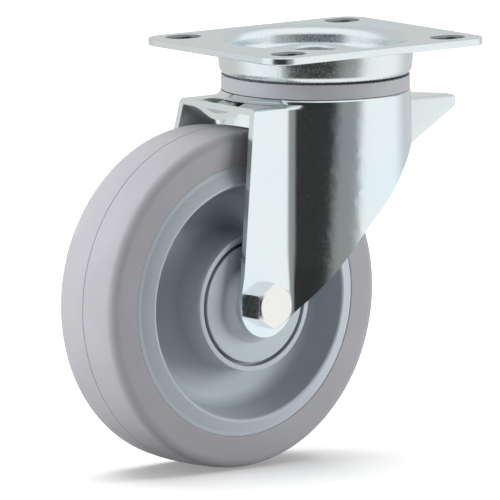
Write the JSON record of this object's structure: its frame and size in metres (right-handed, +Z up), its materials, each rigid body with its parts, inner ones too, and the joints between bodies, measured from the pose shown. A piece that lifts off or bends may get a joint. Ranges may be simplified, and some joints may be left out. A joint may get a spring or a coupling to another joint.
{
  "type": "swivel castor",
  "caption": "Swivel castor with a slotted rectangular top plate, pressed steel fork, double ball race and a grey rubber-tyred wheel on ball bearings.",
  "frame": {"origin": "centre of the top plate's upper face, on the swivel axis", "axes": "+Z up along the swivel axis, out of the plate; the wheel trails towards -X; the wheel's axle lies along Y with the bolt head on the -Y side"},
  "size_m": [0.221, 0.105, 0.1975],
  "materials": {
    "zinc_plated_steel": "bright zinc plate, smooth and reflective",
    "bolt_steel": "bright zinc plate",
    "bearing_steel": "ground bearing steel",
    "wheel_plastic": "satin moulded plastic",
    "seal_plastic": "satin moulded plastic",
    "tyre_rubber": "matt grey elastic rubber",
    "bearing_seal_rubber": "matt black",
    "insert_plastic": "plain moulded plastic"
  },
  "bodies": {
    "mount": {"top_plate": "zinc_plated_steel", "kingpin": "zinc_plated_steel", "lower_race_cup": "zinc_plated_steel"},
    "swivel": {"fork": "zinc_plated_steel", "swivel_seal": "seal_plastic", "axle_bolt": "bolt_steel", "axle_nut": "bolt_steel", "nut_insert": "insert_plastic", "axle_sleeve": "bolt_steel", "bearing_spacer": "bearing_steel", "near_thread_guard": "wheel_plastic", "far_thread_guard": "wheel_plastic", "near_bearing_inner_ring": "bearing_steel", "far_bearing_inner_ring": "bearing_steel"},
    "wheel": {"tyre": "tyre_rubber", "wheel_centre": "wheel_plastic", "near_bearing_outer_ring": "bearing_steel", "far_bearing_outer_ring": "bearing_steel", "near_bearing_seals": "bearing_seal_rubber", "far_bearing_seals": "bearing_seal_rubber"},
    "upper_ball_set": {"upper_balls": "bearing_steel"},
    "lower_ball_set": {"lower_balls": "bearing_steel"},
    "near_ball_set": {"near_bearing_balls": "bearing_steel", "near_bearing_cage": "bearing_steel"},
    "far_ball_set": {"far_bearing_balls": "bearing_steel", "far_bearing_cage": "bearing_steel"}
  },
  "joints": [
    {"name": "swivel_turn", "type": "hinge", "parent": "mount", "child": "swivel", "pos_m": [0, 0, 0], "axis": [0, 0, 1], "continuous": true},
    {"name": "wheel_spin", "type": "hinge", "parent": "swivel", "child": "wheel", "pos_m": [-0.059, 0, -0.1175], "axis": [0, 1, 0], "continuous": true},
    {"name": "upper_balls_orbit", "type": "hinge", "parent": "mount", "child": "upper_ball_set", "pos_m": [0, 0, 0], "axis": [0, 0, 1], "continuous": true},
    {"name": "lower_balls_orbit", "type": "hinge", "parent": "mount", "child": "lower_ball_set", "pos_m": [0, 0, 0], "axis": [0, 0, 1], "continuous": true},
    {"name": "near_balls_orbit", "type": "hinge", "parent": "swivel", "child": "near_ball_set", "pos_m": [-0.059, 0, -0.1175], "axis": [0, 1, 0], "continuous": true},
    {"name": "far_balls_orbit", "type": "hinge", "parent": "swivel", "child": "far_ball_set", "pos_m": [-0.059, 0, -0.1175], "axis": [0, 1, 0], "continuous": true}
  ],
  "couplings": [
    {"joint": "upper_balls_orbit", "follows": "swivel_turn", "ratio": 0.5},
    {"joint": "lower_balls_orbit", "follows": "swivel_turn", "ratio": 0.5},
    {"joint": "near_balls_orbit", "follows": "wheel_spin", "ratio": 0.618},
    {"joint": "far_balls_orbit", "follows": "wheel_spin", "ratio": 0.618}
  ]
}
